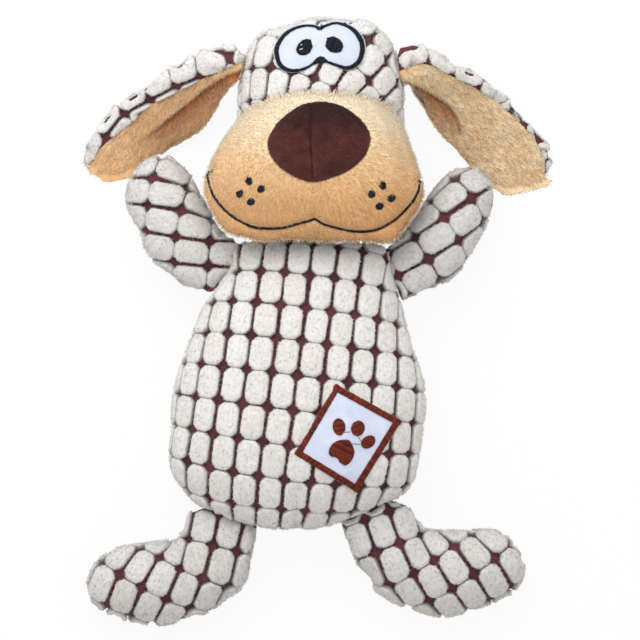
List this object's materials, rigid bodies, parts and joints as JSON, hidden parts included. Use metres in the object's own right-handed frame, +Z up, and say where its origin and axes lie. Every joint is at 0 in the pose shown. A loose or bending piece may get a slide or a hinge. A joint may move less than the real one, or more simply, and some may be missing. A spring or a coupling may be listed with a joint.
{
  "type": "plush dog toy",
  "caption": "Stuffed dog toy in cobbled plush with a tan muzzle, drooping ears, sewn arms and booted legs, a belly patch and a squeaker inside.",
  "frame": {"origin": "on the floor under the middle of the torso's back, with the toy lying on its back", "axes": "+Y from the legs to the head, +Z up out of the belly, +X to the toy's own left"},
  "size_m": [0.2489, 0.3185, 0.0904],
  "materials": {
    "cobbled_plush": "cream chenille cobbles tufted on a maroon-brown woven backing",
    "tan_plush": "short velvety tan plush",
    "brown_plush": "short velvety dark brown plush",
    "white_felt": "close-woven white felt",
    "black_thread": "satin-stitched black thread",
    "rust_thread": "satin-stitched rust-brown thread",
    "fibre_stuffing": "white polyester fibre filling",
    "squeaker_plastic": "soft translucent-white blown plastic"
  },
  "bodies": {
    "torso": {"torso_front_panel": "cobbled_plush", "torso_back_panel": "cobbled_plush", "torso_stuffing": "fibre_stuffing", "squeaker_capsule": "squeaker_plastic", "squeaker_reed": "squeaker_plastic", "patch_ground": "white_felt", "patch_border_stitching": "rust_thread", "paw_pad_stitching": "rust_thread", "paw_toe_stitching_1": "rust_thread", "paw_toe_stitching_2": "rust_thread", "paw_toe_stitching_3": "rust_thread"},
    "head": {"head_back_panel": "cobbled_plush", "head_crown_panel": "cobbled_plush", "muzzle_panel": "tan_plush", "head_stuffing": "fibre_stuffing", "nose_left_panel": "brown_plush", "nose_right_panel": "brown_plush", "nose_stuffing": "fibre_stuffing", "eye_felt": "white_felt", "eye_outline_stitching": "black_thread", "pupil_left": "black_thread", "pupil_right": "black_thread", "mouth_stitching": "black_thread", "whisker_dot_right_1": "black_thread", "whisker_dot_right_2": "black_thread", "whisker_dot_right_3": "black_thread", "whisker_dot_right_4": "black_thread", "whisker_dot_left_1": "black_thread", "whisker_dot_left_2": "black_thread", "whisker_dot_left_3": "black_thread", "whisker_dot_left_4": "black_thread"},
    "right_ear": {"ear_right_tan_panel": "tan_plush", "ear_right_cobbled_panel": "cobbled_plush"},
    "left_ear": {"ear_left_tan_panel": "tan_plush", "ear_left_cobbled_panel": "cobbled_plush"},
    "right_arm": {"arm_right_front_panel": "cobbled_plush", "arm_right_back_panel": "cobbled_plush", "arm_right_stuffing": "fibre_stuffing"},
    "left_arm": {"arm_left_front_panel": "cobbled_plush", "arm_left_back_panel": "cobbled_plush", "arm_left_stuffing": "fibre_stuffing"},
    "right_leg": {"leg_right_front_panel": "cobbled_plush", "leg_right_back_panel": "cobbled_plush", "leg_right_stuffing": "fibre_stuffing"},
    "left_leg": {"leg_left_front_panel": "cobbled_plush", "leg_left_back_panel": "cobbled_plush", "leg_left_stuffing": "fibre_stuffing"}
  },
  "joints": [
    {"name": "neck_nod", "type": "hinge", "parent": "torso", "child": "head", "pos_m": [0.0065, 0.0914, 0.036], "axis": [1, 0, 0], "range_deg": [-30, 15]},
    {"name": "right_ear_flap", "type": "hinge", "parent": "head", "child": "right_ear", "pos_m": [-0.03229, 0.17421, 0.037], "axis": [0.172, 0.9752, 0.1392], "range_deg": [-10, 45]},
    {"name": "left_ear_flap", "type": "hinge", "parent": "head", "child": "left_ear", "pos_m": [0.05453, 0.17621, 0.037], "axis": [0.172, -0.9752, -0.1392], "range_deg": [-10, 45]},
    {"name": "right_shoulder", "type": "hinge", "parent": "torso", "child": "right_arm", "pos_m": [-0.04049, 0.07004, 0.0305], "axis": [0.5202, 0.854, 0], "range_deg": [-10, 35]},
    {"name": "left_shoulder", "type": "hinge", "parent": "torso", "child": "left_arm", "pos_m": [0.05399, 0.0663, 0.0305], "axis": [0.4107, -0.9118, 0], "range_deg": [-10, 35]},
    {"name": "right_hip", "type": "hinge", "parent": "torso", "child": "right_leg", "pos_m": [-0.03868, -0.06524, 0.0305], "axis": [-0.9347, 0.3556, 0], "range_deg": [-30, 50]},
    {"name": "left_hip", "type": "hinge", "parent": "torso", "child": "left_leg", "pos_m": [0.039, -0.0615, 0.0305], "axis": [-0.9104, -0.4138, 0], "range_deg": [-30, 50]}
  ]
}
